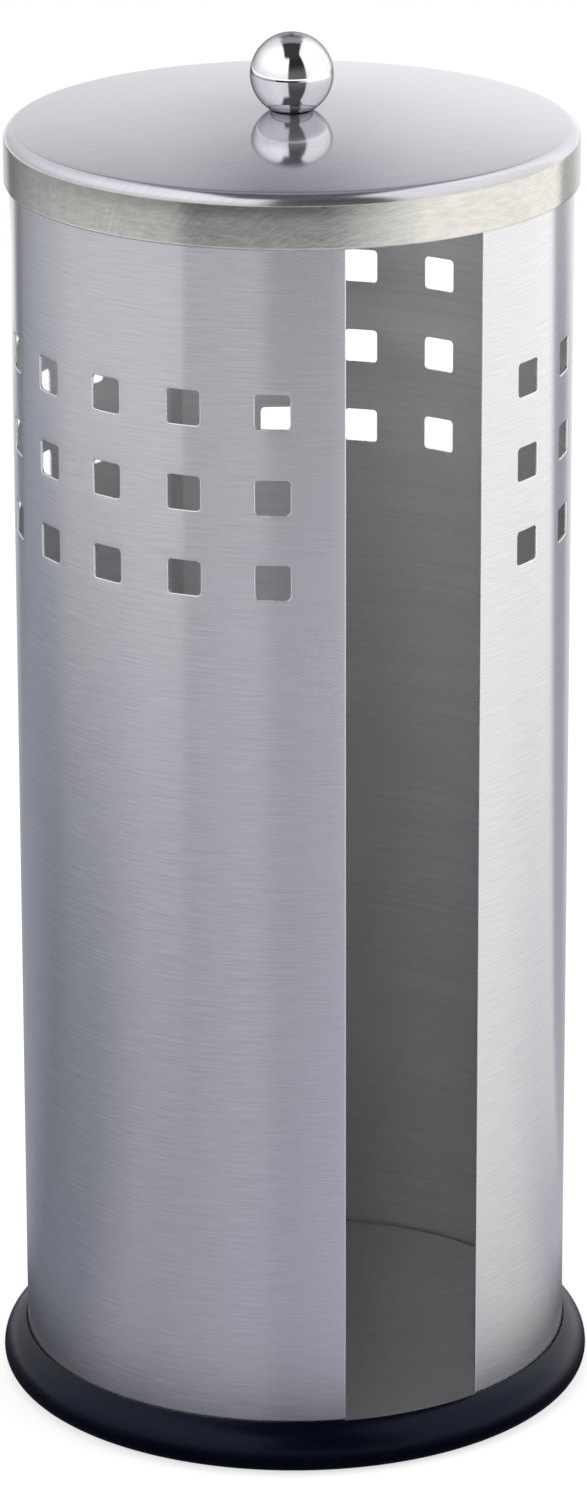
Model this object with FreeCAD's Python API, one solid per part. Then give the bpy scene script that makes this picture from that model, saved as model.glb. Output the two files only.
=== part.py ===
import FreeCAD, Part
import math
import os

# Toilet roll storage holder. Sizes in mm, +Z up, the slot faces -Y.
# The origin is in the middle of the foot, on the ground.

# tube of rolled sheet
tube_outer_radius = 67.5
tube_height = 315.5
tube_sheet = 0.6
slot_width = 35.5
slot_corner = 2.0
slot_hidden_above = 2.5   # how far the slot runs up behind the lid skirt
slot_hidden_below = 1.8   # how far the slot runs down behind the lip of the base

# rows of square holes, spaced along the arc of the tube
hole_size = 8.3
hole_corner = 1.0
hole_rows = 3
hole_row_pitch = 20.7
hole_top_drop = 50.8      # from the top edge of the tube to the middle of the first row
hole_column_pitch = 21.5
hole_from_slot = 17.35    # from the edge of the slot to the middle of the first column
hole_from_seam = 13.0     # least distance from the weld seam at the back to a column

# plastic base ring
base_overhang = 6.0       # from the tube to the widest part of the ring
base_height = 12.0
base_widest_height = 4.4
base_web = 2.8
base_flange_width = 4.6
base_upstand_width = 3.5
base_lip_chamfer = 0.4
groove_gap = 0.1

# floor plate pressed with a flange that is turned down
floor_rise = 6.2          # from the web of the base to the top of the floor
floor_sheet = 0.7
floor_bend = 0.5          # inside of the bend
floor_flange_gap = 1.2    # between the flange and the web of the base
floor_gap = 0.05

# lid
lid_sheet = 0.6
lid_gap = 0.8             # between the skirt and the tube
lid_seat_gap = 0.2        # between the inside of the shoulder and the top edge of the tube
lid_shoulder = 3.1
lid_dome_radius = 535.0
lid_skirt = 10.2          # straight part of the skirt
lid_boss_margin = 1.0     # flat of the lid beyond the seat of the ball

# knob and its fixing
ball_radius = 10.0
ball_seat_radius = 4.9
thread_radius = 2.0
thread_gap = 0.05
thread_depth = 8.0
drill_point = 1.2
screw_end_gap = 1.0       # from the end of the screw to the end of the thread in the ball
screw_hole_gap = 0.2
head_radius = 4.0
head_height = 2.4
head_round = 1.2
recess_length = 4.4
recess_width = 0.9
recess_depth = 1.5
washer_radius = 4.5
washer_thickness = 0.8
washer_gap = 0.15
lock_width = 1.35
lock_thickness = 1.0
lock_slit = 0.7
lock_slant = 25.0         # degrees

# positions that follow from the sizes
tube_inner_radius = tube_outer_radius - tube_sheet
tube_foot = base_web
tube_top = tube_foot + tube_height
floor_top = base_web + floor_rise
floor_under = floor_top - floor_sheet
flange_outer_radius = tube_inner_radius - floor_gap
flange_inner_radius = flange_outer_radius - floor_sheet
lid_radius = tube_outer_radius + lid_gap + lid_sheet
shoulder_radius = lid_radius - lid_shoulder
inner_shoulder = lid_shoulder - lid_sheet
seat_rise = math.sqrt(inner_shoulder ** 2 - (tube_outer_radius - shoulder_radius) ** 2)
shoulder_z = tube_top + lid_seat_gap - seat_rise
skirt_end = shoulder_z - lid_skirt
lid_boss_radius = ball_seat_radius + lid_boss_margin
dome_reach = shoulder_radius - lid_boss_radius
dome_z = shoulder_z - math.sqrt((lid_dome_radius - lid_shoulder) ** 2 - dome_reach ** 2)
lid_top = dome_z + lid_dome_radius
washer_top = lid_top - lid_sheet
lock_top = washer_top - washer_thickness
head_top = lock_top - lock_thickness
head_end = head_top - head_height

middle = FreeCAD.Vector(0, 0, 0)
up = FreeCAD.Vector(0, 0, 1)


def at(radius, z):
    """A point of a profile, which lies in the XZ plane."""
    return FreeCAD.Vector(radius, 0, z)


def line(start, end):
    return Part.LineSegment(at(*start), at(*end)).toShape()


def chain(points):
    """Straight edges from point to point, without a closing edge."""
    return [line(start, end) for start, end in zip(points, points[1:])]


def arc(centre, radius, first, last):
    """Arc of a profile about its centre, between two angles in degrees."""
    points = []
    for angle in (first, (first + last) / 2, last):
        turn = math.radians(angle)
        points.append(at(centre[0] + radius * math.cos(turn), centre[1] + radius * math.sin(turn)))
    return Part.Arc(*points).toShape()


def revolve(edges):
    """Solid of revolution about Z from the edges of a closed profile."""
    wire = Part.Wire(Part.__sortEdges__(edges))
    return Part.Face(wire).revolve(middle, up, 360)


def ring(inner_radius, outer_radius, foot, height):
    outer = Part.makeCylinder(outer_radius, height, at(0, foot))
    inner = Part.makeCylinder(inner_radius, height, at(0, foot))
    return outer.cut(inner)


def window(width, height, corner, middle_z):
    """Prism with rounded corners that goes through the front wall of the tube."""
    outside = tube_sheet * 5
    half_chord = width / 2
    inside = tube_outer_radius - math.sqrt(tube_inner_radius ** 2 - half_chord ** 2) + outside
    near = FreeCAD.Vector(-half_chord, -tube_outer_radius - outside, middle_z - height / 2)
    prism = Part.makeBox(width, outside + inside, height, near)
    along_y = [edge for edge in prism.Edges if abs(edge.tangentAt(edge.FirstParameter).y) > 0.5]
    return prism.makeFillet(corner, along_y)


def make_body_shell():
    """Rolled sheet, closed at the top and foot, with the slot and the square holes."""
    slot_foot = base_height - slot_hidden_below
    slot_top = skirt_end + slot_hidden_above
    cutters = [window(slot_width, slot_top - slot_foot, slot_corner, (slot_top + slot_foot) / 2)]
    first = slot_width / 2 + hole_from_slot
    room = math.pi * tube_outer_radius - hole_from_seam - first
    columns = int(room / hole_column_pitch) + 1
    for row in range(hole_rows):
        row_z = tube_top - hole_top_drop - row * hole_row_pitch
        for column in range(columns):
            turn = math.degrees((first + column * hole_column_pitch) / tube_outer_radius)
            for side in (-1, 1):
                cutter = window(hole_size, hole_size, hole_corner, row_z)
                cutter.rotate(middle, up, side * turn)
                cutters.append(cutter)
    tube = ring(tube_inner_radius, tube_outer_radius, tube_foot, tube_height)
    return tube.cut(cutters)


def make_floor_plate():
    """Pressed disc whose flange stands inside the tube."""
    outer_bend = floor_bend + floor_sheet
    bend = (flange_outer_radius - outer_bend, floor_top - outer_bend)
    flange_end = base_web + floor_flange_gap
    edges = [
        arc(bend, outer_bend, 90, 0),
        arc(bend, floor_bend, 0, 90),
    ]
    edges += chain([
        (flange_outer_radius, bend[1]),
        (flange_outer_radius, flange_end),
        (flange_inner_radius, flange_end),
        (flange_inner_radius, bend[1]),
    ])
    edges += chain([
        (bend[0], floor_under),
        (0, floor_under),
        (0, floor_top),
        (bend[0], floor_top),
    ])
    return revolve(edges)


def make_base_ring():
    """Round outside in two arcs, groove for the tube, upstand that carries the floor plate."""
    widest = tube_outer_radius + base_overhang
    groove_outer = tube_outer_radius + groove_gap
    groove_inner = flange_inner_radius - groove_gap
    upstand_inner = groove_inner - base_upstand_width
    upstand_chamfer = floor_bend + groove_gap
    flange_inner = upstand_inner - base_flange_width
    lip = groove_outer + base_lip_chamfer
    rise = base_height - base_widest_height
    reach = widest - lip
    round_radius = (reach ** 2 + rise ** 2) / (2 * reach)
    upper = (widest - round_radius, base_widest_height)
    lower = (widest - base_widest_height, base_widest_height)
    lip_angle = math.degrees(math.atan2(rise, lip - upper[0]))
    edges = [
        arc(lower, base_widest_height, -90, 0),
        arc(upper, round_radius, 0, lip_angle),
    ]
    edges += chain([
        (lip, base_height),
        (groove_outer, base_height - base_lip_chamfer),
        (groove_outer, base_web),
        (groove_inner, base_web),
        (groove_inner, floor_under - upstand_chamfer),
        (groove_inner - upstand_chamfer, floor_under),
        (upstand_inner, floor_under),
        (upstand_inner, base_web),
        (flange_inner, base_web),
        (flange_inner, 0),
        (lower[0], 0),
    ])
    return revolve(edges)


def make_lid_shell():
    """Pressed dish of even thickness: flat boss, dome, round shoulder and straight skirt."""
    dome = (lid_boss_radius, dome_z)
    shoulder = (shoulder_radius, shoulder_z)
    lean = math.degrees(math.atan2(shoulder_z - dome_z, dome_reach))
    inner_radius = lid_radius - lid_sheet
    hole_radius = thread_radius + screw_hole_gap
    edges = [
        arc(dome, lid_dome_radius, 90, lean),
        arc(shoulder, lid_shoulder, lean, 0),
        arc(shoulder, inner_shoulder, 0, lean),
        arc(dome, lid_dome_radius - lid_sheet, lean, 90),
    ]
    edges += chain([
        (lid_radius, shoulder_z),
        (lid_radius, skirt_end),
        (inner_radius, skirt_end),
        (inner_radius, shoulder_z),
    ])
    edges += chain([
        (lid_boss_radius, washer_top),
        (hole_radius, washer_top),
        (hole_radius, lid_top),
        (lid_boss_radius, lid_top),
    ])
    return revolve(edges)


def make_knob_ball():
    """Ball with a flat seat and a blind threaded hole, shown as a plain bore."""
    bore = thread_radius + thread_gap
    seat_drop = math.sqrt(ball_radius ** 2 - ball_seat_radius ** 2)
    ball_z = lid_top + seat_drop
    seat_angle = -math.degrees(math.atan2(seat_drop, ball_seat_radius))
    edges = [arc((0, ball_z), ball_radius, seat_angle, 90)]
    edges += chain([
        (0, ball_z + ball_radius),
        (0, lid_top + thread_depth + drill_point),
        (bore, lid_top + thread_depth),
        (bore, lid_top),
        (ball_seat_radius, lid_top),
    ])
    return revolve(edges)


def make_knob_screw():
    """Pan head screw with a cross recess, its thread shown as a plain shank."""
    tip = lid_top + thread_depth - screw_end_gap
    corner = (head_radius - head_round, head_end + head_round)
    edges = [arc(corner, head_round, 0, -90)]
    edges += chain([
        (corner[0], head_end),
        (0, head_end),
        (0, tip),
        (thread_radius, tip),
        (thread_radius, head_top),
        (head_radius, head_top),
        (head_radius, corner[1]),
    ])
    screw = revolve(edges)
    near = FreeCAD.Vector(-recess_length / 2, -recess_width / 2, head_end)
    recess = Part.makeBox(recess_length, recess_width, recess_depth, near)
    across = recess.copy()
    across.rotate(middle, up, 90)
    return screw.cut([recess, across])


def make_knob_washer():
    return ring(thread_radius + washer_gap, washer_radius, lock_top, washer_thickness)


def make_knob_lock_washer():
    """Spring washer pressed flat, with its slanting slit."""
    inner = thread_radius + washer_gap
    outer = inner + lock_width
    washer = ring(inner, outer, head_top, lock_thickness)
    near = FreeCAD.Vector(0, -lock_slit / 2, head_top - lock_thickness)
    slit = Part.makeBox(2 * outer, lock_slit, 3 * lock_thickness, near)
    slit.rotate(at(0, head_top + lock_thickness / 2), FreeCAD.Vector(1, 0, 0), lock_slant)
    return washer.cut(slit)


os.makedirs("parts", exist_ok=True)
make_body_shell().exportStep("parts/body_shell.step")
make_floor_plate().exportStep("parts/floor_plate.step")
make_base_ring().exportStep("parts/base_ring.step")
make_lid_shell().exportStep("parts/lid_shell.step")
make_knob_ball().exportStep("parts/knob_ball.step")
make_knob_screw().exportStep("parts/knob_screw.step")
make_knob_washer().exportStep("parts/knob_washer.step")
make_knob_lock_washer().exportStep("parts/knob_lock_washer.step")
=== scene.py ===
import math

import bpy
import numpy as np
from bpy.props import FloatProperty, FloatVectorProperty, IntProperty, PointerProperty
from bpy.types import Operator, Panel, PropertyGroup
from mathutils import Matrix, Vector


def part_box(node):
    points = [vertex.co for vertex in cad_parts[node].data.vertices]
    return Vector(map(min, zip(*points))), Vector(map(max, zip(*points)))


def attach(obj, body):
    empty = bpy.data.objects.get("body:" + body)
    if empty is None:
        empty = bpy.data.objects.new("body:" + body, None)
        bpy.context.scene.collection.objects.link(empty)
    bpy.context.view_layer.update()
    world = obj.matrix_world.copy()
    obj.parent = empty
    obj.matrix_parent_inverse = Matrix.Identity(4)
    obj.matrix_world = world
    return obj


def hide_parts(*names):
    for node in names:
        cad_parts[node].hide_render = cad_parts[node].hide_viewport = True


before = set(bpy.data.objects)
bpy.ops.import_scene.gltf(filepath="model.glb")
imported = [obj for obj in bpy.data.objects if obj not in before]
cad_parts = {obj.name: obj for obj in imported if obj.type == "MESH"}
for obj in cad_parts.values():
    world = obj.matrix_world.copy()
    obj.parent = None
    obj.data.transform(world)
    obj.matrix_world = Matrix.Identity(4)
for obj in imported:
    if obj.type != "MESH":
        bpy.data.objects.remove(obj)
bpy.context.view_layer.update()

bl_info = {
    "name": "Toilet roll holder",
    "version": (1, 0, 0),
    "blender": (4, 5, 0),
    "location": "3D View > Sidebar > Holder",
    "description": "Builds the visible pieces of a steel toilet roll storage holder on its packed model",
    "category": "Object",
}

body_low, body_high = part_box("body_shell")
base_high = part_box("base_ring")[1]
floor_low, floor_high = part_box("floor_plate")
lid_low, lid_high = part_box("lid_shell")
ball_low, ball_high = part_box("knob_ball")

# Meshes, in metres
SLOT_COVER = 0.0025  # how much of the slot the lid's skirt hides
TINY = 1e-12  # stands in for a length of nothing in a division
SAME_PLACE = 1e-8  # points of a profile that are closer than this are one
MERGES_PER_METRE = 1e7  # points of a piece in the same tenth of a micron become one
LINE_DIGITS = 9  # grid lines are rounded to a nanometre
SLACK = 1e-6  # room for rounding where grid lines are counted or picked
QUARTER = np.radians([0, 30, 60, 90])  # angles of the points on a rounded cut edge
RIM_LINES = np.array([1.4, 0.8, 0.4]) * 1e-3  # rings of points outside an opening's edge
DRAW_REACH = 0.001  # how far from an opening's edge the sheet is drawn in
HOLE_LINES = (0.00105, 0.0037, 0.0044, 0.0053, 0.0065)  # grid lines on both sides of a hole's middle
SLOT_LINES = np.array([0, 0.6, 1.25, 2.0, 2.9, 3.7, 4.5]) * 1e-3  # grid lines from the slot's corner arc
ARC_STEP = 0.00212  # widest gap between grid lines along the tube's arc
HEIGHT_STEP = 0.024  # widest gap between grid lines up the tube

# Stage, in metres where nothing else is said
WHITE = (1.0, 1.0, 1.0, 1.0)
FLOOR_HALF = 4.0
TENT_HOLE = 0.071  # radius left open round the holder's foot
TENT_RADIUS = 3.0
TENT_CORNER = 0.3  # bend from the floor to the wall
TENT_LIFT = 0.0003  # height of the tent above the floor
DOME_FOOT = 0.6  # height where the dome starts
LID_LEVEL = 0.3  # height that the tent's angles are measured from
LAMP_AIM = Vector((0.0, 0.0, 0.15))
# Name, place and width of each lamp
LAMPS = (
    ("lamp_left", Vector((-1.3, -0.7, 1.4)), 1.2),
    ("lamp_right", Vector((1.2, -0.9, 1.3)), 1.2),
    ("lamp_top", Vector((0.1, 0.3, 1.9)), 1.5),
)
SENSOR_WIDTH = 36.0  # width of the camera's picture, in millimetres


def size(name, description, default):
    """A length in metres that the sidebar can change."""
    return FloatProperty(name=name, description=description, default=default, min=0.0,
                         precision=5, subtype="DISTANCE", unit="LENGTH")


def turn(name, description, degrees):
    """An angle, given in degrees and kept in radians."""
    return FloatProperty(name=name, description=description, default=math.radians(degrees),
                         subtype="ANGLE", unit="ROTATION")


def share(name, description, default, most=1.0):
    """A plain number from nothing to its largest value."""
    return FloatProperty(name=name, description=description, default=default, min=0.0, max=most)


def colour(name, description, default):
    """A colour as linear red, green and blue."""
    return FloatVectorProperty(name=name, description=description, default=default,
                               size=3, min=0.0, max=1.0, subtype="COLOR")


class BodySettings(PropertyGroup):
    """Rolled and brushed steel tube with its slot and square holes."""
    radius: size("Radius", "Outside of the tube", body_high.x)
    foot: size("Foot", "Height of the lower edge", body_low.z)
    top: size("Top", "Height of the upper edge", body_high.z)
    sheet: size("Sheet", "Thickness of the steel", 0.0006)
    edge: size("Edge round", "Rounding of the cut edges", 0.0002)
    slot_width: size("Slot width", "Straight width of the slot", 0.0355)
    slot_corner: size("Slot corner", "Rounding of the slot's corners", 0.002)
    slot_foot: size("Slot foot", "Height of the slot's lower end", 0.0102)
    slot_top: size("Slot top", "Height of the slot's upper end", lid_low.z + SLOT_COVER)
    hole: size("Hole", "Side of a square hole", 0.0083)
    hole_corner: size("Hole corner", "Rounding of a hole's corners", 0.001)
    row_drop: size("First row", "From the upper edge to the middle of the first row", 0.0508)
    row_pitch: size("Row pitch", "From row to row", 0.0207)
    column_start: size("First column", "Along the arc from the slot's middle to the first column", 0.0351)
    column_pitch: size("Column pitch", "Along the arc from column to column", 0.0215)
    columns: IntProperty(name="Columns", description="Columns on each side of the slot", default=8, min=1)
    rows: IntProperty(name="Rows", description="Rows of holes", default=3, min=1)
    draw: size("Draw", "How far the punch drew the sheet in beside a hole", 0.00004)
    steel: colour("Steel", "Colour of the brushed steel", (0.58, 0.58, 0.60))
    # The inner colour is a dull mill finish made lighter than steel is: painted light for the dim inside of
    # the tube
    inner_steel_and_painted_light: colour("Inner steel", "Colour of the mill finish inside", (0.84, 0.84, 0.845))
    edge_steel: colour("Edge steel", "Colour of the deburred cut edges", (0.82, 0.82, 0.83))
    roughness: share("Roughness", "Spread of the reflections outside", 0.18)
    inner_roughness: share("Inner roughness", "Spread of the reflections inside", 0.46)


class BaseSettings(PropertyGroup):
    """Moulded plastic ring that the tube stands in."""
    widest: size("Widest", "Radius at the widest place", base_high.x)
    widest_height: size("Height of the widest", "Height of the widest place", 0.0044)
    height: size("Height", "Height of the lip beside the tube", base_high.z)
    lip: size("Lip", "Radius of the lip's edge", 0.068)
    groove_outer: size("Groove outside", "Outer radius of the groove", 0.0676)
    groove_inner: size("Groove inside", "Inner radius of the groove", 0.06605)
    upstand_inner: size("Upstand", "Inner radius of the upstand", 0.06255)
    flange_inner: size("Flange", "Inner radius of the flange", 0.05795)
    web: size("Web", "Thickness under the tube", body_low.z)
    upstand: size("Upstand height", "Height of the upstand under the floor", 0.0083)
    plastic: colour("Plastic", "Colour of the moulding", (0.0006, 0.0009, 0.0034))
    roughness: share("Roughness", "Spread of the reflections", 0.28)


class FloorSettings(PropertyGroup):
    """Pressed steel floor inside the tube."""
    radius: size("Radius", "Outside of the flange", floor_high.x)
    foot: size("Foot", "Height of the flange's edge", floor_low.z)
    top: size("Top", "Height of the floor", floor_high.z)
    sheet: size("Sheet", "Thickness of the steel", 0.0007)
    bend: size("Bend", "Outer radius of the bend", 0.0012)
    # The floor colour is rolled steel made lighter as painted light, so the floor shows in the dim inside
    # of the tube
    steel: colour("Steel", "Colour of the rolled sheet", (0.70, 0.70, 0.71))
    roughness: share("Roughness", "Spread of the reflections", 0.34)


class LidSettings(PropertyGroup):
    """Pressed steel lid with a low dome, a round shoulder and a straight skirt."""
    radius: size("Radius", "Outside of the skirt", lid_high.x)
    foot: size("Foot", "Height of the skirt's edge", lid_low.z)
    top: size("Top", "Height of the middle of the lid", lid_high.z)
    sheet: size("Sheet", "Thickness of the steel", 0.0006)
    shoulder: size("Shoulder", "Outer radius of the shoulder", 0.0031)
    skirt: size("Skirt", "Straight height of the skirt", 0.0102)
    dome: size("Dome", "Radius of the dome", 0.535)
    boss: size("Boss", "Radius of the flat under the ball", 0.0059)
    hole: size("Hole", "Radius of the screw hole", 0.0022)
    edge: size("Edge round", "Rounding of the skirt's edge", 0.0002)
    steel: colour("Steel", "Colour of the top", (0.555, 0.552, 0.606))
    skirt_steel: colour("Skirt steel", "Colour of the drawn skirt", (0.52, 0.508, 0.482))
    roughness: share("Roughness", "Spread of the reflections", 0.085)
    grain: turn("Grain", "Direction of the brush lines, from the X axis", 4.0)


class KnobSettings(PropertyGroup):
    """Chromed ball and the steel that holds it."""
    seat: size("Seat", "Radius of the ball's flat seat", 0.0049)
    bore: size("Bore", "Radius of the threaded hole", 0.00205)
    depth: size("Depth", "Depth of the threaded hole", 0.008)
    point: size("Drill point", "Height of the hole's pointed end", 0.0012)
    chrome: colour("Chrome", "Colour of the plating", (0.80, 0.80, 0.81))
    zinc: colour("Zinc", "Colour of the screw and washers", (0.55, 0.55, 0.56))


class StageSettings(PropertyGroup):
    """Floor, light tent, lamps and camera."""
    azimuth: turn("Azimuth", "How far left of the slot the camera stands", 25.79)
    elevation: turn("Elevation", "How far above the horizon the camera stands", 19.0)
    roll: turn("Roll", "Turn of the camera about its own axis", -0.148)
    distance: size("Distance", "From the camera to its target", 1.65)
    target: size("Target", "Height that the camera looks at", 0.1618)
    lens: FloatProperty(name="Lens", description="Focal length in millimetres", default=161.0, min=1.0)
    paper: colour("Paper", "Colour of the floor", (0.92, 0.92, 0.92))
    tent: share("Tent", "Brightness of the tent that the metal mirrors", 1.6, 10.0)
    lamp: share("Lamp", "Power of one lamp in watts", 14.0, 1000.0)
    sky: share("Sky", "Soft light from all round", 0.85, 10.0)


def bow(centre, radius, first, last, count):
    """Arc of a profile: centre plus radius times (cos a, sin a), a evenly from first to last in degrees."""
    angle = np.radians(np.linspace(first, last, count))
    return np.stack([centre[0] + radius * np.cos(angle), centre[1] + radius * np.sin(angle)], axis=1)


def eased(corners, radii, count=5):
    """Profile with rounded corners.

    With u and v the unit directions into and out of a corner and w the angle between them, the
    arc of radius r touches both sides r tan(w/2) from the corner. Its points swing from the first
    touching point to the second by the even-angle blend of the two spokes. A radius of 0 keeps the corner.
    """
    corners, radii = np.asarray(corners, float), np.asarray(radii, float)[:, None]
    u = corners - np.roll(corners, 1, axis=0)
    v = np.roll(corners, -1, axis=0) - corners
    u /= np.maximum(np.linalg.norm(u, axis=1, keepdims=True), TINY)
    v /= np.maximum(np.linalg.norm(v, axis=1, keepdims=True), TINY)
    w = np.arccos(np.clip((u * v).sum(axis=1, keepdims=True), -1, 1))
    reach = radii * np.tan(w / 2)
    inward = (v - u) / np.maximum(np.linalg.norm(v - u, axis=1, keepdims=True), TINY)
    centre = corners + inward * radii / np.cos(w / 2)
    first, last = corners - u * reach - centre, corners + v * reach - centre
    t = np.linspace(0, 1, count)[None, :, None]
    w3 = w[:, :, None]
    swing = np.sin((1 - t) * w3) * first[:, None] + np.sin(t * w3) * last[:, None]
    line = (centre[:, None] + swing / np.maximum(np.sin(w3), TINY)).reshape(-1, 2)
    apart = np.linalg.norm(line - np.roll(line, 1, axis=0), axis=1) > SAME_PLACE
    return line[apart]


def sheet_quads(rows, columns, wrap_rows=False, wrap_columns=False):
    """Corner numbers of the quads of a grid whose points are numbered row by row."""
    i = np.arange(rows if wrap_rows else rows - 1)[:, None]
    j = np.arange(columns if wrap_columns else columns - 1)[None, :]
    below, beside = (i + 1) % rows, (j + 1) % columns
    corners = [i * columns + j, below * columns + j, below * columns + beside, i * columns + beside]
    return np.stack(np.broadcast_arrays(*corners), axis=-1).reshape(-1, 4)


def turned(profile, steps, closed):
    """Profile turned about Z.

    A point at radius r and height z goes to (r sin a, -r cos a, z) at every angle a.
    """
    angle = np.linspace(0, 2 * np.pi, steps, endpoint=False)
    radius, height = profile[:, :1], profile[:, 1:]
    points = np.stack([radius * np.sin(angle), -radius * np.cos(angle), height + 0 * angle], axis=-1)
    return points.reshape(-1, 3), sheet_quads(len(profile), steps, closed, True)


def flattened(profile, steps):
    """Place of each turned point on the flat blank.

    That is the point's way from the axis, measured along the profile, in the direction of its angle.
    """
    length = np.append(profile[0, 0], np.linalg.norm(np.diff(profile, axis=0), axis=1)).cumsum()[:, None]
    angle = np.linspace(0, 2 * np.pi, steps, endpoint=False)
    return np.stack([length * np.sin(angle), -length * np.cos(angle)], axis=-1).reshape(-1, 2)


def make_piece(name, points, quads, flat=None, finishes=None, crease=35.0):
    """Closed mesh object at the origin.

    Points in nearly the same place become one, so seams and poles close, and a quad that loses a
    corner becomes a triangle. The faces are turned round if the volume, a sixth of the sum of a . (b x c)
    over the triangles, is negative. flat holds the place of each point on the flat sheet, and finishes
    numbers the finish of each quad.
    """
    keys = np.round(points * MERGES_PER_METRE).astype(np.int64)
    _, kept, joined = np.unique(keys, axis=0, return_index=True, return_inverse=True)
    joined = joined.reshape(-1)
    faces = joined[quads]
    lost = faces == np.roll(faces, -1, axis=1)
    whole, three = lost.sum(axis=1) == 0, lost.sum(axis=1) == 1
    stay = ~lost[three]
    fours, threes = faces[whole], faces[three][stay].reshape(-1, 3)
    four_marks, three_marks = quads[whole], quads[three][stay].reshape(-1, 3)
    points = points[kept]
    fan = np.concatenate([fours[:, [0, 1, 2]], fours[:, [0, 2, 3]], threes])
    a, b, c = points[fan[:, 0]], points[fan[:, 1]], points[fan[:, 2]]
    if (a * np.cross(b, c)).sum() < 0:
        fours, threes = fours[:, ::-1], threes[:, ::-1]
        four_marks, three_marks = four_marks[:, ::-1], three_marks[:, ::-1]
    mesh = bpy.data.meshes.new(name)
    mesh.from_pydata(points.tolist(), [], fours.tolist() + threes.tolist(), shade_flat=False)
    if flat is not None:
        marks = np.concatenate([four_marks.reshape(-1), three_marks.reshape(-1)])
        mesh.uv_layers.new(name="sheet").uv.foreach_set("vector", flat[marks].astype(np.float32).ravel())
    if finishes is not None:
        finish = np.concatenate([finishes[whole], finishes[three]]).astype(np.int32)
        mesh.polygons.foreach_set("material_index", finish)
    mesh.set_sharp_from_angle(angle=math.radians(crease))
    piece = bpy.data.objects.new(name, mesh)
    bpy.context.scene.collection.objects.link(piece)
    return piece


def spread(stops, step):
    """Rising values that hold every stop and split each gap into even parts no longer than step."""
    stops = np.unique(np.round(stops, LINE_DIGITS))
    gaps = np.diff(stops)
    parts = np.maximum(np.ceil(gaps / step - SLACK), 1).astype(int)
    nth = np.arange(parts.sum()) - np.repeat(parts.cumsum() - parts, parts)
    values = np.repeat(stops[:-1], parts) + nth * np.repeat(gaps / parts, parts)
    return np.round(np.append(values, stops[-1]), LINE_DIGITS)


def mirrored(values):
    """The values and their negatives, rising."""
    return np.unique(np.round(np.concatenate([-np.asarray(values), values]), LINE_DIGITS))


def cut_round(edge, sheet):
    """Distance inside the cut face and depth under the outside, along a cut edge rounded on both faces.

    Each rounding is a quarter circle: edge (1 - sin a) inside the face and edge (1 - cos a) deep.
    """
    inside, deep = edge * (1 - np.sin(QUARTER)), edge * (1 - np.cos(QUARTER))
    return np.append(inside, inside[::-1]), np.append(deep, sheet - deep[::-1])


def opening_rings(across, up, middle, half, corner, edge, sheet, draw):
    """Rings of points from the border of a cell, round the cut edge and back to the border inside.

    For a border point b measured from the middle, core is b held within half - corner, and the point
    of the outline moved out by e is core + (corner + e) (b - core) / |b - core|. The cut edge is
    rounded on both faces, and the sheet is drawn in by draw exp(-(e / DRAW_REACH)^2).
    """
    loop = np.concatenate([
        np.stack([across[:-1], np.full(len(across) - 1, up[0])], axis=1),
        np.stack([np.full(len(up) - 1, across[-1]), up[:-1]], axis=1),
        np.stack([across[:0:-1], np.full(len(across) - 1, up[-1])], axis=1),
        np.stack([np.full(len(up) - 1, across[0]), up[:0:-1]], axis=1),
    ])
    border = loop - middle
    limit = np.asarray(half) - corner
    core = np.clip(border, -limit, limit)
    spoke = border - core
    spoke /= np.linalg.norm(spoke, axis=1, keepdims=True)
    out, deep = cut_round(edge, sheet)
    out = np.concatenate([RIM_LINES, out, RIM_LINES[::-1]])
    deep = np.concatenate([0 * RIM_LINES, deep, 0 * RIM_LINES + sheet])
    deep = deep + draw * np.exp(-(out / DRAW_REACH) ** 2)
    rings = middle + core + (corner + out[:, None, None]) * spoke
    depth = np.repeat(deep[:, None, None], len(loop), axis=1)
    rings = np.concatenate([rings, depth], axis=2)
    start = np.concatenate([loop, np.zeros((len(loop), 1))], axis=1)[None]
    end = np.concatenate([loop, np.full((len(loop), 1), sheet)], axis=1)[None]
    return np.concatenate([start, rings, end])


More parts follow.
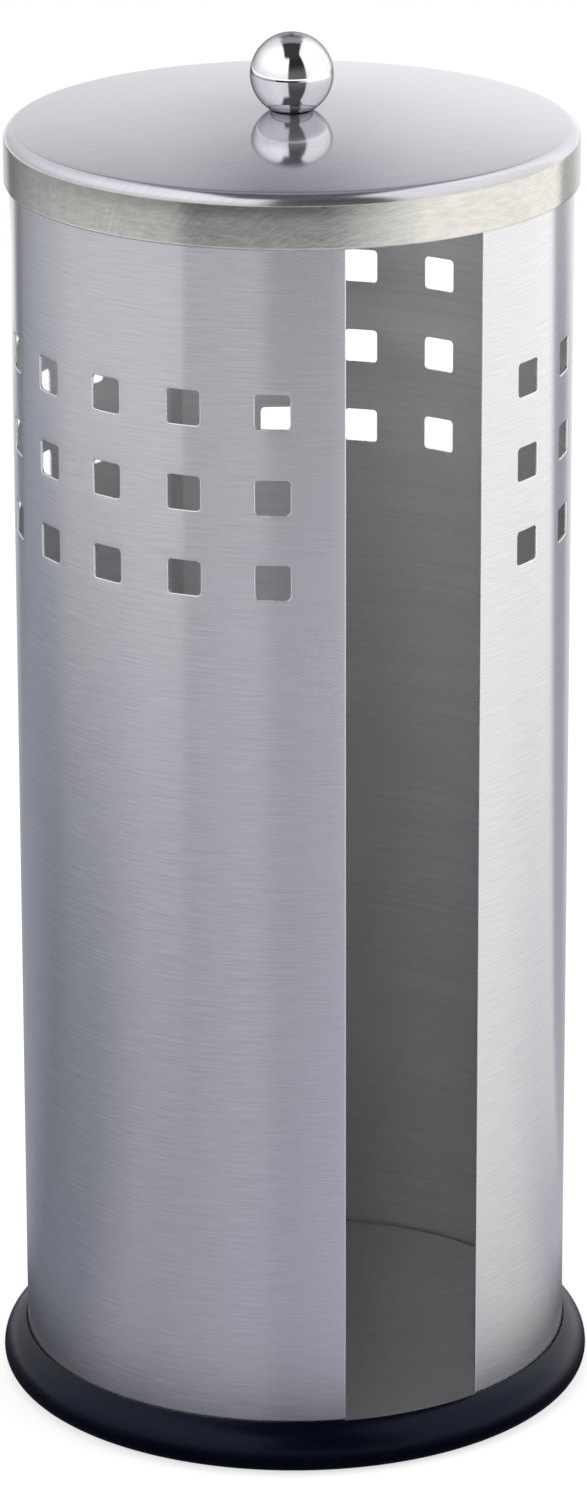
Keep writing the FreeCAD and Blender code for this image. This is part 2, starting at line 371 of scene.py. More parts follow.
def tube_sheet(tube):
    """Points, quads, flat places and finishes of the tube's sheet: 0 outside, 1 inside, 2 a cut edge.

    The sheet is laid out flat by s, the arc from the slot's middle, z, the height, and d, the depth
    under the outside. Plain parts are a grid of s and z lines on both faces, and the openings are rings.
    Then (s, z, d) goes to ((R - d) sin(s/R), -(R - d) cos(s/R), z).
    """
    edge, sheet, half_turn = tube.edge, tube.sheet, math.pi * tube.radius
    hole_half = tube.hole / 2
    hole_cell = mirrored([*HOLE_LINES, hole_half - tube.hole_corner])
    slot_half = tube.radius * math.asin(tube.slot_width / 2 / tube.radius)
    slot_cell = mirrored(slot_half - tube.slot_corner + SLOT_LINES)
    column = tube.column_start + tube.column_pitch * np.arange(tube.columns)
    column = np.concatenate([-column[::-1], column])
    row = tube.top - tube.row_drop - tube.row_pitch * np.arange(tube.rows)
    slot_feet = tube.slot_foot + tube.slot_corner - SLOT_LINES
    slot_tops = tube.slot_top - tube.slot_corner + SLOT_LINES
    s_lines = spread(np.concatenate([
        [-half_turn, half_turn], slot_cell, np.add.outer(column, hole_cell).ravel()]), ARC_STEP)
    z_lines = spread(np.concatenate([
        [tube.foot + edge, tube.top - edge], slot_feet, slot_tops,
        np.add.outer(row, hole_cell).ravel()]), HEIGHT_STEP)

    parts, quads, finishes, count = [], [], [], 0

    def keep(block, corners, finish):
        """Adds a block of points, its quads and their finish to the sheet."""
        nonlocal count
        parts.append(block.reshape(-1, 3))
        quads.append(corners + count)
        finishes.append(np.broadcast_to(finish, len(corners)))
        count += parts[-1].shape[0]

    s_mid, z_mid = (s_lines[:-1] + s_lines[1:]) / 2, (z_lines[:-1] + z_lines[1:]) / 2
    in_column = (np.abs(s_mid[:, None] - column) < hole_cell[-1]).any(axis=1)
    in_row = (np.abs(z_mid[:, None] - row) < hole_cell[-1]).any(axis=1)
    in_slot = np.abs(s_mid) < slot_cell[-1]
    beside = (z_mid > slot_feet[-1]) & (z_mid < slot_tops[-1])
    plain = ~(np.outer(in_column, in_row) | np.outer(in_slot, beside))
    grid = sheet_quads(len(s_lines), len(z_lines))[plain.ravel()]
    s, z = np.meshgrid(s_lines, z_lines, indexing="ij")
    keep(np.stack([s, z, 0 * s], axis=-1), grid, 0)
    keep(np.stack([s, z, 0 * s + sheet], axis=-1), grid[:, ::-1], 1)

    inside, deep = cut_round(edge, sheet)
    for height, depth in ((tube.top - inside, deep), (tube.foot + inside[::-1], deep[::-1])):
        s, z = np.meshgrid(s_lines, height, indexing="ij")
        keep(np.stack([s, z, 0 * s + depth], axis=-1), sheet_quads(len(s_lines), len(height)), 2)

    face_strips, edge_strips = len(RIM_LINES) + 1, len(deep) - 1
    strips = np.repeat([0, 2, 1], [face_strips, edge_strips, face_strips])

    def cut(middle, across, up, half, corner, draw):
        """Adds the rings of one opening to the sheet."""
        rings = opening_rings(across, up, np.array(middle), half, corner, edge, sheet, draw)
        corners = sheet_quads(rings.shape[0], rings.shape[1], False, True)[:, ::-1]
        keep(rings, corners, np.repeat(strips, rings.shape[1]))

    for z_middle in row:
        for s_middle in column:
            across = np.round(s_middle + hole_cell, LINE_DIGITS)
            up = np.round(z_middle + hole_cell, LINE_DIGITS)
            cut((s_middle, z_middle), across, up, (hole_half, hole_half), tube.hole_corner, tube.draw)
    across = s_lines[np.abs(s_lines) < slot_cell[-1] + SLACK]
    up = z_lines[(z_lines > slot_feet[-1] - SLACK) & (z_lines < slot_tops[-1] + SLACK)]
    cut((0.0, (tube.slot_foot + tube.slot_top) / 2), across, up,
        (slot_half, (tube.slot_top - tube.slot_foot) / 2), tube.slot_corner, tube.draw / 2)

    flat = np.concatenate(parts)
    angle, radius = flat[:, 0] / tube.radius, tube.radius - flat[:, 2]
    points = np.stack([radius * np.sin(angle), -radius * np.cos(angle), flat[:, 1]], axis=1)
    return points, np.concatenate(quads), flat[:, :2], np.concatenate(finishes)


def base_profile(base):
    """Profile of the ring, as radius and height.

    A quarter circle leads from the underside to the widest place, and an arc from there to the lip. The
    arc is upright at the widest place, so its radius is (reach^2 + rise^2) / (2 reach). Straight lines
    with rounded corners go round the groove, the upstand and the flange.
    """
    lip_round, groove_round, upstand_round, web_round, flange_round = 3e-4, 2e-4, 3e-4, 6e-4, 4e-4
    lip_slope, upstand_slope = 0.0004, 0.0006
    rise, reach = base.height - base.widest_height, base.widest - base.lip
    bend = (reach ** 2 + rise ** 2) / (2 * reach)
    last = math.degrees(math.asin(rise / bend))
    lower = bow((base.widest - base.widest_height, base.widest_height), base.widest_height, -90, 0, 14)
    upper = bow((base.widest - bend, base.widest_height), bend, 0, last, 20)[1:]
    outside = np.concatenate([lower, upper])
    inside = np.array([
        (base.groove_outer, base.height - lip_slope, groove_round),
        (base.groove_outer, base.web, groove_round),
        (base.groove_inner, base.web, groove_round),
        (base.groove_inner, base.upstand - upstand_slope, groove_round),
        (base.groove_inner - upstand_slope, base.upstand, groove_round),
        (base.upstand_inner, base.upstand, upstand_round),
        (base.upstand_inner, base.web, web_round),
        (base.flange_inner, base.web, flange_round),
        (base.flange_inner, 0.0, flange_round)])
    radii = np.concatenate([np.zeros(len(outside) - 1), [lip_round], inside[:, 2]])
    return eased(np.concatenate([outside, inside[:, :2]]), radii)


def floor_profile(plate):
    """Profile of the floor plate, as radius and height.

    The floor runs out from the axis, an arc bends it down into the flange, and the same lines lead back
    one sheet further in. The two corners of the flange's edge are rounded.
    """
    lip_round, flat_start, flat_count = 2e-4, 0.01, 8
    centre = (plate.radius - plate.bend, plate.top - plate.bend)
    flat = np.linspace(flat_start, centre[0], flat_count)
    flat = np.stack([flat, np.full(flat_count, plate.top)], axis=1)
    above = np.concatenate([[(0.0, plate.top)], flat, bow(centre, plate.bend, 90, 0, 8)[1:]])
    lip = np.array([(plate.radius, plate.foot), (plate.radius - plate.sheet, plate.foot)])
    below = np.concatenate([
        bow(centre, plate.bend - plate.sheet, 0, 90, 8), [(0.0, plate.top - plate.sheet)]])
    radii = np.repeat([0.0, lip_round, 0.0], [len(above), len(lip), len(below)])
    return eased(np.concatenate([above, lip, below]), radii)


def lid_profile(lid):
    """Profile of the lid, as radius and height.

    The flat boss goes over into the dome's arc, the dome into the shoulder's arc where the line through
    both centres meets them, and the shoulder into the upright skirt. The same lines lead back one sheet
    further in.
    """
    hole_round = 1e-4
    shoulder = (lid.radius - lid.shoulder, lid.foot + lid.skirt)
    dome = (lid.boss, lid.top - lid.dome)
    lean = math.degrees(math.atan2(shoulder[1] - dome[1], shoulder[0] - dome[0]))
    heights = np.append(np.linspace(shoulder[1], lid.foot + 3 * lid.edge, 4)[1:], lid.foot)
    outside = np.concatenate([
        [(lid.hole, lid.top)], bow(dome, lid.dome, 90, lean, 40),
        bow(shoulder, lid.shoulder, lean, 0, 20)[1:],
        np.stack([np.full(len(heights), lid.radius), heights], axis=1)])
    inside = np.concatenate([
        np.stack([np.full(len(heights), lid.radius - lid.sheet), heights[::-1]], axis=1),
        bow(shoulder, lid.shoulder - lid.sheet, 0, lean, 12),
        bow(dome, lid.dome - lid.sheet, lean, 90, 30)[1:], [(lid.hole, lid.top - lid.sheet)]])
    radii = np.zeros(len(outside) + len(inside))
    radii[[0, -1]] = hole_round
    radii[len(outside) - 1:len(outside) + 1] = lid.edge
    return eased(np.concatenate([outside, inside]), radii)


def ball_profile(knob):
    """Profile of the ball, as radius and height.

    An arc about the ball's middle ends at the flat seat, where the bore goes up to its drill point.
    """
    seat_round = 1.5e-4
    radius, foot = ball_high.x, ball_low.z
    seat = -math.degrees(math.acos(knob.seat / radius))
    shell = bow((0.0, ball_high.z - radius), radius, 90, seat, 72)
    shell[0, 0] = 0.0
    bore = [(knob.bore, foot), (knob.bore, foot + knob.depth), (0.0, foot + knob.depth + knob.point)]
    radii = np.zeros(len(shell) + len(bore))
    radii[len(shell) - 1:len(shell) + 1] = seat_round
    return eased(np.concatenate([shell, bore]), radii)


class Wire:
    """A socket of a node tree. Arithmetic on it adds Math nodes."""

    def __init__(self, board, socket):
        self.board, self.socket = board, socket

    def other(self, name):
        """Another output of the same node."""
        return Wire(self.board, self.socket.node.outputs[name])

    def maths(self, operation, first, second=0.0):
        """A Math node."""
        return self.board.node("ShaderNodeMath", {"operation": operation}, {0: first, 1: second})

    def __add__(self, term):
        return self.maths("ADD", self, term)

    def __sub__(self, term):
        return self.maths("SUBTRACT", self, term)

    def __rsub__(self, term):
        return self.maths("SUBTRACT", term, self)

    def __mul__(self, term):
        return self.maths("MULTIPLY", self, term)

    def __truediv__(self, term):
        return self.maths("DIVIDE", self, term)

    def __rtruediv__(self, term):
        return self.maths("DIVIDE", term, self)

    def __abs__(self):
        return self.maths("ABSOLUTE", self)

    __radd__ = __add__
    __rmul__ = __mul__

    def rise(self, low, high, kind="SMOOTHSTEP"):
        """0 below low, 1 above high, smooth or straight between."""
        return self.board.node("ShaderNodeMapRange", {"interpolation_type": kind},
                               {"Value": self, "From Min": low, "From Max": high})


class Board:
    """The node tree of a material or of the world."""

    def __init__(self, owner):
        owner.use_nodes = True
        self.owner, self.tree = owner, owner.node_tree
        self.tree.nodes.clear()

    def node(self, kind, settings, sockets, output=0):
        """Adds a node: its settings first, then a value or a link for each named socket."""
        made = self.tree.nodes.new(kind)
        for name, value in settings.items():
            if name == "stops":
                self.set_stops(made.color_ramp, value)
            else:
                setattr(made, name, value)
        for name, value in sockets.items():
            if isinstance(value, Wire):
                self.tree.links.new(value.socket, made.inputs[name])
            else:
                made.inputs[name].default_value = value
        return Wire(self, made.outputs[output]) if len(made.outputs) else made

    @staticmethod
    def set_stops(ramp, stops):
        """Stops of a colour ramp as (position, colour)."""
        while len(ramp.elements) < len(stops):
            ramp.elements.new(1.0)
        for element, (position, value) in zip(ramp.elements, stops):
            element.position, element.color = position, (*value, 1.0)

    def place(self):
        """Object coordinates."""
        return self.node("ShaderNodeTexCoord", {}, {}, "Object")

    def flat_sheet(self):
        """Place on the flat sheet that a piece was cut from."""
        return self.node("ShaderNodeUVMap", {"uv_map": "sheet"}, {})

    def part(self, vector, axis):
        """One of the three numbers of a vector."""
        return self.node("ShaderNodeSeparateXYZ", {}, {"Vector": vector}, axis)

    def spun(self, vector, angle):
        """A vector turned about Z."""
        return self.node("ShaderNodeMapping", {}, {"Vector": vector, "Rotation": (0.0, 0.0, angle)})

    def mix(self, factor, first, second, blend="MIX"):
        """Colour between two colours, or the first with the second blended in."""
        settings = {"data_type": "RGBA", "blend_type": blend}
        return self.node("ShaderNodeMix", settings, {0: factor, 6: first, 7: second}, 2)

    def tones(self, mask, value, first, last):
        """A colour that goes from first to last times itself as the mask goes from 0 to 1."""
        return self.mix(mask, shade(value, first), shade(value, last))

    def noise(self, vector, scale=1.0, detail=3.0, roughness=0.5, stretch=(1.0, 1.0, 1.0)):
        """Cloudy pattern from 0 to 1, stretched before it is scaled."""
        place = self.node("ShaderNodeMapping", {}, {"Vector": vector, "Scale": stretch})
        return self.node("ShaderNodeTexNoise", {}, {
            "Vector": place, "Scale": scale, "Detail": detail, "Roughness": roughness})

    def bump(self, height, strength, distance):
        """Normal of a surface with this relief."""
        return self.node("ShaderNodeBump", {}, {
            "Height": height, "Strength": strength, "Distance": distance})

    def finish(self, **sockets):
        """The material, with a Principled shader whose sockets are given by name."""
        named = {name.replace("_", " "): value for name, value in sockets.items()}
        return self.surface(self.node("ShaderNodeBsdfPrincipled", {}, named))

    def surface(self, shader):
        """The material, with this shader on its surface."""
        self.node("ShaderNodeOutputMaterial", {}, {"Surface": shader})
        return self.owner


def shade(value, factor):
    """A colour made lighter or darker, with its alpha."""
    return tuple(min(part * factor, 1.0) for part in value) + (1.0,)


def new_board(name):
    """The empty node tree of a new material."""
    return Board(bpy.data.materials.new(name))


def weld_line(board, flat, tube, outer, inner):
    """1 nearer than inner to the weld at the back of the tube, falling to 0 at outer."""
    back = math.pi * tube.radius
    return abs(board.part(flat, "X")).rise(back - outer, back - inner)


def brushed_tube_steel(tube):
    """Steel brushed round the tube: lines along the arc, a faint weld line at the back."""
    board = new_board("brushed_tube_steel")
    flat = board.flat_sheet()
    fine = board.noise(flat, roughness=0.6, stretch=(105.0, 4000.0, 1.0))
    coarse = board.noise(flat, roughness=0.55, stretch=(42.0, 1900.0, 1.0))
    cloud = board.noise(flat, scale=28.0, detail=2.0)
    weld = weld_line(board, flat, tube, outer=0.0016, inner=0.0009)
    lines = fine * 0.7 + coarse * 0.3
    steel = board.tones(lines.rise(0.30, 0.70), tube.steel, first=0.915, last=1.065)
    steel = board.mix(weld * 0.6, steel, shade(tube.steel, 0.72))
    rough = (lines - 0.5) * 0.08 + tube.roughness + cloud * 0.02 + weld * 0.08
    relief = board.bump(lines - weld * 0.5, strength=0.06, distance=0.00004)
    return board.finish(Base_Color=steel, Metallic=1.0, Roughness=rough, Normal=relief,
                        Anisotropic=1.0, Anisotropic_Rotation=0.25)


def mill_tube_steel_and_painted_light(tube):
    """Inside of the tube as it left the rolling mill: dull, with faint long lines and the weld. Its colour
    is lighter than steel is, painted light that brightens the dim inside.
    """
    board = new_board("mill_tube_steel_and_painted_light")
    flat = board.flat_sheet()
    lines = board.noise(flat, roughness=0.55, stretch=(18.0, 900.0, 1.0))
    cloud = board.noise(flat, scale=40.0, roughness=0.6)
    weld = weld_line(board, flat, tube, outer=0.0020, inner=0.0012)
    tone = (lines * 0.6 + cloud * 0.4).rise(0.3, 0.7)
    # Painted light: the inner colour is lighter than steel, so the dim inside of the tube looks brighter
    steel = board.tones(tone, tube.inner_steel_and_painted_light, first=0.93, last=1.05)
    steel = board.mix(weld * 0.6, steel, shade(tube.inner_steel_and_painted_light, 0.70))
    rough = (cloud - 0.5) * 0.10 + tube.inner_roughness
    relief = board.bump(lines, strength=0.08, distance=0.00006)
    return board.finish(Base_Color=steel, Metallic=1.0, Roughness=rough, Normal=relief)


def cut_edge_steel(tube):
    """Bright deburred edge of the slot, the holes and the rims, with faint nicks."""
    board = new_board("cut_edge_steel")
    nicks = board.noise(board.flat_sheet(), scale=900.0, roughness=0.6)
    steel = board.tones(nicks.rise(0.3, 0.7), tube.edge_steel, first=0.90, last=1.04)
    return board.finish(Base_Color=steel, Metallic=1.0, Roughness=nicks * 0.12 + 0.22)


def brushed_lid_steel(lid):
    """Finely brushed sheet: straight lines over the whole blank, warmer where the skirt was drawn."""
    board = new_board("brushed_lid_steel")
    flat = board.spun(board.flat_sheet(), -lid.grain)
    fine = board.noise(flat, roughness=0.6, stretch=(60.0, 2600.0, 1.0))
    coarse = board.noise(flat, detail=2.0, stretch=(22.0, 900.0, 1.0))
    place = board.place()
    scuff = board.noise(place, detail=4.0, roughness=0.65, stretch=(240.0, 240.0, 900.0))
    drop = lid.top - board.part(place, "Z")
    skirt = drop.rise(0.0045, 0.0066)
    bent = drop.rise(0.0032, 0.0046)
    lines = fine * 0.6 + coarse * 0.4
    steel = board.tones(lines.rise(0.28, 0.72), lid.steel, first=0.93, last=1.04)
    worn = (fine * 0.4 + scuff * 0.6).rise(0.3, 0.7)
    steel = board.mix(skirt, steel, board.tones(worn, lid.skirt_steel, first=0.86, last=1.08))
    rough = (lines - 0.5) * 0.08 + lid.roughness + bent * 0.10 - skirt * 0.02
    relief = board.bump(lines + skirt * scuff, strength=0.10, distance=0.00005)
    return board.finish(Base_Color=steel, Metallic=skirt * 0.07 + 0.93, Roughness=rough, Normal=relief)


def chrome_plate(knob):
    """Mirror-bright plating with a breath of haze."""
    board = new_board("chrome_plate")
    haze = board.noise(board.place(), scale=260.0, roughness=0.6)
    plate = board.tones(haze.rise(0.35, 0.75), knob.chrome, first=1.03, last=0.95)
    return board.finish(Base_Color=plate, Metallic=1.0, Roughness=haze.rise(0.4, 0.8) * 0.02 + 0.018,
                        Specular_Tint=(0.30, 0.30, 0.33, 1.0))


def satin_plastic(base):
    """Navy black moulding with a fine spark-eroded grain."""
    board = new_board("satin_plastic")
    place = board.place()
    grain = board.noise(place, scale=2600.0, detail=2.0, roughness=0.6)
    cloud = board.noise(place, scale=60.0, roughness=0.55)
    plastic = board.tones(cloud.rise(0.3, 0.7), base.plastic, first=0.85, last=1.2)
    rough = base.roughness + (grain - 0.5) * 0.10 + (cloud - 0.5) * 0.12
    relief = board.bump(grain, strength=0.22, distance=0.00008)
    return board.finish(Base_Color=plastic, Roughness=rough, Normal=relief,
                        Specular_IOR_Level=0.20, Specular_Tint=(0.48, 0.62, 1.0, 1.0))


def rolled_floor_steel_and_painted_light(plate):
    """Rolled sheet with the straight lines of the rolling mill, made lighter than it is as painted light so
    that it shows in the dim inside of the tube.
    """
    board = new_board("rolled_floor_steel_and_painted_light")
    lines = board.noise(board.place(), roughness=0.6, stretch=(30.0, 1500.0, 30.0))
    # Painted light: the floor colour is lighter than the rolled sheet, for the dim inside of the tube
    steel = board.tones(lines.rise(0.3, 0.7), plate.steel, first=0.92, last=1.05)
    rough = plate.roughness + (lines - 0.5) * 0.12
    relief = board.bump(lines, strength=0.1, distance=0.00006)
    return board.finish(Base_Color=steel, Metallic=1.0, Roughness=rough, Normal=relief)


def zinc_plate(knob):
    """Dull zinc on the screw and washers, with a faint mottle."""
    board = new_board("zinc_plate")
    mottle = board.noise(board.place(), scale=1400.0, roughness=0.6)
    zinc = board.tones(mottle.rise(0.3, 0.7), knob.zinc, first=0.88, last=1.06)
    return board.finish(Base_Color=zinc, Metallic=1.0, Roughness=mottle * 0.18 + 0.26)


def dress(piece, material, node, body):
    """Gives a piece its finish and puts it in the place of a node of the model."""
    piece.data.materials.append(material)
    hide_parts(node)
    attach(piece, body)


class HOLDER_OT_body(Operator):
    """Build the brushed tube with its slot and holes"""
    bl_idname = "holder.body"
    bl_label = "Tube"

    def execute(self, context):
        tube = context.scene.holder_body
        piece = make_piece("body_tube", *tube_sheet(tube), crease=40.0)
        dress(piece, brushed_tube_steel(tube), "body_shell", "holder")
        piece.data.materials.append(mill_tube_steel_and_painted_light(tube))
        piece.data.materials.append(cut_edge_steel(tube))
        return {"FINISHED"}


class HOLDER_OT_base(Operator):
    """Build the moulded base ring"""
    bl_idname = "holder.base"
    bl_label = "Base ring"

    def execute(self, context):
        base = context.scene.holder_base
        piece = make_piece("base_moulding", *turned(base_profile(base), steps=288, closed=True))
        dress(piece, satin_plastic(base), "base_ring", "holder")
        return {"FINISHED"}


class HOLDER_OT_floor(Operator):
    """Build the pressed floor inside the tube"""
    bl_idname = "holder.floor"
    bl_label = "Floor plate"

    def execute(self, context):
        plate = context.scene.holder_floor
        piece = make_piece("floor_pan", *turned(floor_profile(plate), steps=192, closed=False))
        dress(piece, rolled_floor_steel_and_painted_light(plate), "floor_plate", "holder")
        return {"FINISHED"}


class HOLDER_OT_lid(Operator):
    """Build the pressed lid"""
    bl_idname = "holder.lid"
    bl_label = "Lid"

    def execute(self, context):
        lid, steps = context.scene.holder_lid, 320
        profile = lid_profile(lid)
        piece = make_piece("lid_pressing", *turned(profile, steps, closed=True), flattened(profile, steps))
        dress(piece, brushed_lid_steel(lid), "lid_shell", "lid")
        return {"FINISHED"}


class HOLDER_OT_knob(Operator):
    """Build the chromed ball and finish the steel that holds it"""
    bl_idname = "holder.knob"
    bl_label = "Knob"

    def execute(self, context):
        knob = context.scene.holder_knob
        piece = make_piece("knob_ball_plated", *turned(ball_profile(knob), steps=144, closed=False))
        dress(piece, chrome_plate(knob), "knob_ball", "knob")
        zinc = zinc_plate(knob)
        for name in ("knob_screw", "knob_washer", "knob_lock_washer"):
            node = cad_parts[name]
            node.data.materials.clear()
            node.data.materials.append(zinc)
        return {"FINISHED"}


def seen_rays(board):
    """1 for rays from the camera, from a mirror or through glass, 0 for the light on dull surfaces."""
    path = board.node("ShaderNodeLightPath", {}, {}, "Is Camera Ray")
    return (path + path.other("Is Glossy Ray") + path.other("Is Transmission Ray")).rise(0.0, 1.0)


def paper_floor(stage):
    """Pale paper: white to the eye and in mirrors, with the holder's shadow kept in part."""
    near_glow, far_glow = 0.68, 1.0
    board = new_board("paper_floor")
    dull = board.node("ShaderNodeBsdfDiffuse", {}, {"Color": shade(stage.paper, 1.0)})
    white = board.node("ShaderNodeEmission", {}, {"Color": WHITE, "Strength": 1.0})
    away = board.node("ShaderNodeVectorMath", {"operation": "LENGTH"}, {0: board.place()}, "Value")
    glow = seen_rays(board) * (away.rise(0.3, 1.5) * (far_glow - near_glow) + near_glow)
    return board.surface(board.node("ShaderNodeMixShader", {}, {0: glow, 1: dull, 2: white}))


class TentBoard(Board):
    """Node tree of the light tent, with the direction of each spot seen from the height of the lid.

    turn goes once round the holder from 0 to 1, with 0.5 on the camera's side and more on the right of it.
    lift is the angle above the lid in degrees, and away the distance from the axis. aside and rear say how
    much of the direction points to the sides and away from the camera. right and behind are 1 there.
    """
    WARM, COOL = (1.0, 0.99, 0.97), (0.90, 0.95, 1.12)
    LILAC, FAINT = (0.975, 0.965, 1.12), (0.96, 0.975, 1.06)

    def __init__(self, owner, azimuth):
        super().__init__(owner)
        x = self.part(self.spun(self.place(), azimuth), "X")
        y, up = x.other("Y"), x.other("Z") - LID_LEVEL
        self.away = x.maths("SQRT", x * x + y * y)
        self.turn = x.maths("ARCTAN2", x, y * -1.0) / (2 * math.pi) + 0.5
        self.lift = x.maths("ARCTAN2", up, self.away) * (180 / math.pi)
        length = x.maths("SQRT", self.away * self.away + up * up)
        self.aside, self.rear = abs(x) / length, y / length
        self.right = self.turn.rise(0.58, 0.67)
        self.behind = abs(self.turn - 0.5).rise(0.42, 0.47)

    def band(self, *stops):
        """Colours round the holder.

        A stop is an angle from the camera's side in degrees, a level and a tint, or no tint for a grey.
        """
        spots = []
        for angle, level, *tint in stops:
            red, green, blue = tint[0] if tint else (1.0, 1.0, 1.0)
            spots.append((angle / 360 + 0.5, (level * red, level * green, level * blue)))
        return self.node("ShaderNodeValToRGB", {"stops": spots}, {"Fac": self.turn})

    def table(self):
        """Table top: dark at the holder's foot, dim near it, bright further away."""
        warm, cool, lilac, faint = self.WARM, self.COOL, self.LILAC, self.FAINT
        far = self.band(
            (-180, 0.62), (-157, 0.58), (-152, 0.22, cool), (-149, 0.03, cool), (-145, 0.03, cool),
            (-140, 0.20, cool), (-120, 0.42, cool), (-100, 0.84), (-80, 1.0), (-45, 0.96),
            (-43, 0.66), (-20, 0.72), (18, 0.74), (42, 0.78), (56, 1.0, warm), (129, 1.0, warm),
            (133, 0.28, cool), (146, 0.24, cool), (152, 0.46), (162, 0.62), (179, 0.61))
        near = self.band(
            (-180, 0.30, faint), (-130, 0.23, cool), (-112, 0.165, cool), (-81, 0.20, cool),
            (-60, 0.29, lilac), (-45, 0.285, lilac), (-20, 0.335, lilac), (0, 0.345, lilac),
            (40, 0.45, lilac), (72, 0.56), (90, 0.53), (112, 0.39, faint), (130, 0.36, faint),
            (179, 0.31, faint))
        foot, lit = (0.03, 0.03, 0.04, 1.0), (1.9, 1.9, 1.9, 1.0)
        reach = self.away.maths("POWER", self.away.rise(0.16, 1.22, "LINEAR"), 2.2 - self.right * 1.65)
        top = self.mix(self.away.rise(0.075, 0.13), foot, self.mix(reach, near, far))
        return self.mix(self.away.rise(0.92, 1.2) * (1.0 - self.right * 0.9), top, lit, "MULTIPLY")

    def brink(self):
        """Strip between the table top and the horizon."""
        return self.band(
            (-180, 0.56), (-157, 0.46), (-150, 0.13), (-120, 0.34), (-90, 0.30), (-44, 0.20),
            (-42, 0.02), (14, 0.02), (46, 0.80), (56, 1.0, self.WARM), (129, 1.0, self.WARM),
            (134, 0.40), (146, 0.46), (158, 0.60), (179, 0.60))

    def wall(self):
        """Soft boxes left and right of a dark gap on the camera's side, with a veil low in the gap.

        The boxes on the left are a little dimmer low down.
        """
        boxes = self.band(
            (-180, 0.60), (-172, 0.55), (-140, 0.60), (-100, 0.80), (-46, 0.90), (-12, 0.86),
            (-8, 0.02), (38, 0.02), (43, 0.80, self.WARM), (118, 0.80, self.WARM),
            (131, 0.95, self.WARM), (155, 0.74), (172, 0.74), (178, 0.66))
        veil = self.band((-180, 0.0), (-11, 0.0), (-8, 0.10), (38, 0.10), (41, 0.0))
        boxes = self.mix(1.0 - self.lift.rise(4.0, 36.0), boxes, veil, "ADD")
        dim = self.mix(self.lift.rise(0.0, 30.0), (0.76, 0.76, 0.78, 1.0), WHITE)
        dim = self.mix(self.behind, self.mix(self.right, dim, WHITE), WHITE)
        return self.mix(1.0, boxes, dim, "MULTIPLY")

    def roof(self):
        """The wall with a dark strip overhead that reaches down behind the holder and has a skylight."""
        night, dusk, sky = (0.03, 0.03, 0.035, 1.0), (0.062, 0.065, 0.088, 1.0), (0.21, 0.21, 0.225, 1.0)
        middle = abs(self.turn - 0.5).rise(0.488, 0.499)
        dark = self.mix(self.behind * (1.0 - self.lift.rise(40.0, 62.0)), night, dusk)
        skylight = self.rear.rise(0.20, 0.36) * (1.0 - self.rear.rise(0.60, 0.76))
        start = 46.0 - self.behind * 38.0 - middle * 4.0
        end = 60.0 - self.behind * 10.0 - middle * 10.0
        strip = self.lift.rise(start, end) * (1.0 - self.aside.rise(0.27, 0.36))
        return self.mix(strip, self.wall(), self.mix(skylight, dark, sky))


def tent_cloth(stage):
    """Light tent: table top, brink, a bright line at the horizon, then the wall and the roof."""
    table_end, brink_end, line_end = (-14.6, -14.2), (-6.6, -5.8), (-3.2, -2.4)
    line = (0.85, 0.85, 0.85, 1.0)
    tent = TentBoard(bpy.data.materials.new("tent_cloth"), stage.azimuth)
    below = tent.mix(tent.lift.rise(*table_end), tent.table(), tent.brink())
    above = tent.mix(tent.lift.rise(*line_end), line, tent.roof())
    light = tent.mix(tent.lift.rise(*brink_end), below, above)
    glow = tent.node("ShaderNodeEmission", {}, {"Color": light, "Strength": stage.tent})
    tent.owner.cycles.emission_sampling = "NONE"
    return tent.surface(glow)


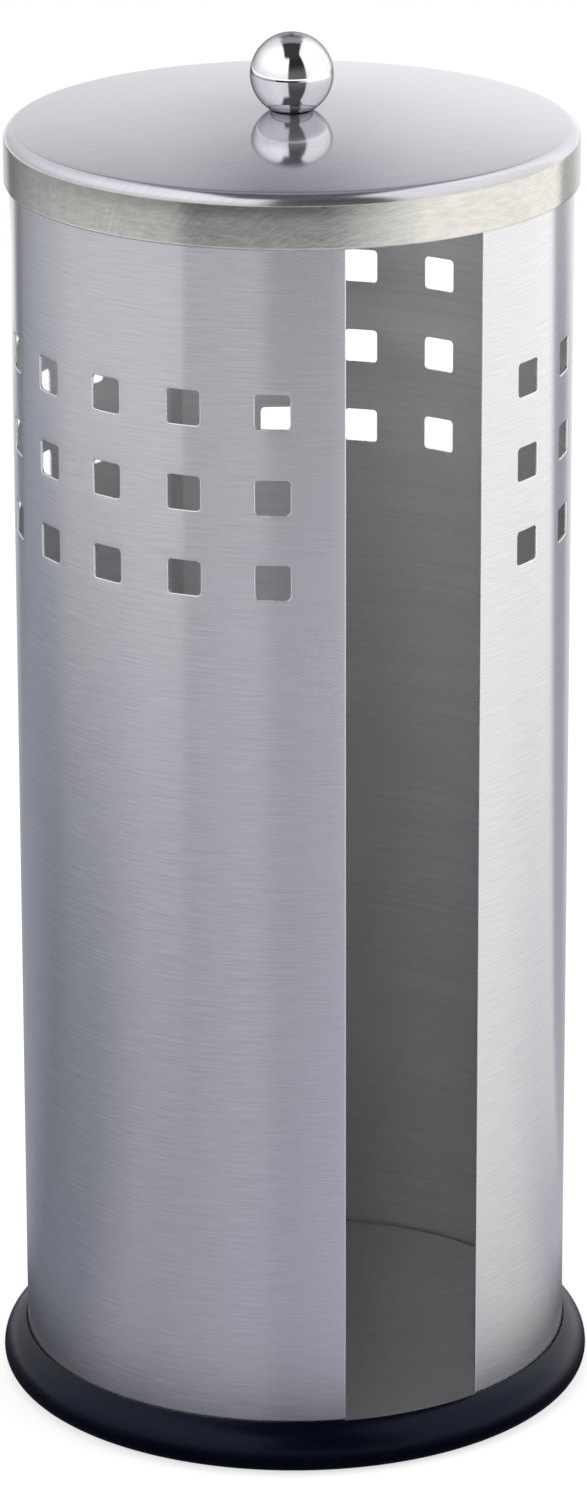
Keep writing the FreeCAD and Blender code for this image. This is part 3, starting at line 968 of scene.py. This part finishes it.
class HOLDER_OT_stage(Operator):
    """Lay the floor, hang the light tent and set the lamps and the camera"""
    bl_idname = "holder.stage"
    bl_label = "Stage"

    def execute(self, context):
        stage = context.scene.holder_stage
        self.lay_floor(stage)
        self.hang_tent(stage)
        self.light_world(context.scene, stage)
        for name, place, width in LAMPS:
            self.set_lamp(name, place, width, stage.lamp)
        self.set_camera(context.scene, stage)
        context.scene.view_settings.view_transform = "Standard"
        return {"FINISHED"}

    def lay_floor(self, stage):
        """Flat grid at height 0, from -FLOOR_HALF to FLOOR_HALF in x and y."""
        line = np.linspace(-FLOOR_HALF, FLOOR_HALF, 9)
        x, y = np.meshgrid(line, line, indexing="ij")
        points = np.stack([x, y, 0 * x], axis=-1).reshape(-1, 3)
        paper = self.set_up("floor_paper", points, sheet_quads(len(line), len(line)), paper_floor(stage))

    def hang_tent(self, stage):
        """Profile along the floor, round a corner arc and up a dome, turned about Z."""
        flat = np.geomspace(TENT_HOLE, TENT_RADIUS - TENT_CORNER, 24)
        profile = np.concatenate([
            np.stack([flat, np.full(len(flat), TENT_LIFT)], axis=1),
            bow((TENT_RADIUS - TENT_CORNER, TENT_CORNER), TENT_CORNER - TENT_LIFT, -90, 0, 8)[1:],
            bow((0.0, DOME_FOOT), TENT_RADIUS, 0, 90, 24)])
        profile[-1, 0] = 0.0
        tent = self.set_up("light_tent", *turned(profile, steps=96, closed=False), tent_cloth(stage))
        tent.visible_camera = tent.visible_diffuse = tent.visible_shadow = False
        tent.visible_transmission = tent.visible_volume_scatter = False

    def set_up(self, name, points, quads, material):
        """An open sheet of the stage, with its finish."""
        mesh = bpy.data.meshes.new(name)
        mesh.from_pydata(points.tolist(), [], quads.tolist(), shade_flat=False)
        mesh.materials.append(material)
        sheet = bpy.data.objects.new(name, mesh)
        bpy.context.scene.collection.objects.link(sheet)
        return sheet

    def light_world(self, scene, stage):
        """White to the eye and in mirrors, a soft even light on everything dull."""
        world = bpy.data.worlds.new("studio")
        scene.world = world
        board = Board(world)
        soft = board.node("ShaderNodeBackground", {}, {"Color": WHITE, "Strength": stage.sky})
        white = board.node("ShaderNodeBackground", {}, {"Color": WHITE, "Strength": 1.0})
        both = board.node("ShaderNodeMixShader", {}, {0: seen_rays(board), 1: soft, 2: white})
        board.node("ShaderNodeOutputWorld", {}, {"Surface": both})

    def set_lamp(self, name, place, width, power):
        """Square area lamp that faces the middle of the holder."""
        light = bpy.data.lights.new(name, "AREA")
        light.energy, light.size = power, width
        lamp = bpy.data.objects.new(name, light)
        lamp.location = place
        lamp.rotation_euler = (LAMP_AIM - place).to_track_quat("-Z", "Y").to_euler()
        lamp.visible_glossy = False
        bpy.context.scene.collection.objects.link(lamp)

    def set_camera(self, scene, stage):
        """Camera on a sphere round its target, in the photograph's direction."""
        left, near = math.sin(stage.azimuth), math.cos(stage.azimuth)
        flat, up = math.cos(stage.elevation), math.sin(stage.elevation)
        back = Vector((-left * flat, -near * flat, up))
        data = bpy.data.cameras.new("camera")
        data.sensor_width, data.lens = SENSOR_WIDTH, stage.lens
        data.clip_start, data.clip_end = 0.05, 50.0
        camera = bpy.data.objects.new("camera", data)
        aim = (-back).to_track_quat("-Z", "Y").to_matrix().to_4x4()
        place = Matrix.Translation(Vector((0.0, 0.0, stage.target)) + back * stage.distance)
        camera.matrix_world = place @ aim @ Matrix.Rotation(stage.roll, 4, "Z")
        scene.collection.objects.link(camera)
        scene.camera = camera


class HOLDER_PT_panel(Panel):
    """Sidebar panel with a button for each piece"""
    bl_idname = "HOLDER_PT_panel"
    bl_label = "Toilet roll holder"
    bl_space_type = "VIEW_3D"
    bl_region_type = "UI"
    bl_category = "Holder"

    def draw(self, context):
        for operator in operators:
            self.layout.operator(operator.bl_idname)
        for name in settings_groups:
            group = getattr(context.scene, name)
            box = self.layout.box()
            for key in group.bl_rna.properties.keys():
                if key not in ("rna_type", "name"):
                    box.prop(group, key)


operators = (
    HOLDER_OT_body,
    HOLDER_OT_base,
    HOLDER_OT_floor,
    HOLDER_OT_lid,
    HOLDER_OT_knob,
    HOLDER_OT_stage,
)
settings_groups = {
    "holder_body": BodySettings,
    "holder_base": BaseSettings,
    "holder_floor": FloorSettings,
    "holder_lid": LidSettings,
    "holder_knob": KnobSettings,
    "holder_stage": StageSettings,
}


def register():
    for group in settings_groups.values():
        bpy.utils.register_class(group)
    for name, group in settings_groups.items():
        setattr(bpy.types.Scene, name, PointerProperty(type=group))
    for operator in operators:
        bpy.utils.register_class(operator)
    bpy.utils.register_class(HOLDER_PT_panel)


def unregister():
    bpy.utils.unregister_class(HOLDER_PT_panel)
    for operator in reversed(operators):
        bpy.utils.unregister_class(operator)
    for name, group in settings_groups.items():
        delattr(bpy.types.Scene, name)
        bpy.utils.unregister_class(group)


def main():
    register()
    bpy.ops.holder.body()
    bpy.ops.holder.base()
    bpy.ops.holder.floor()
    bpy.ops.holder.lid()
    bpy.ops.holder.knob()
    bpy.ops.holder.stage()


if __name__ == "__main__":
    main()
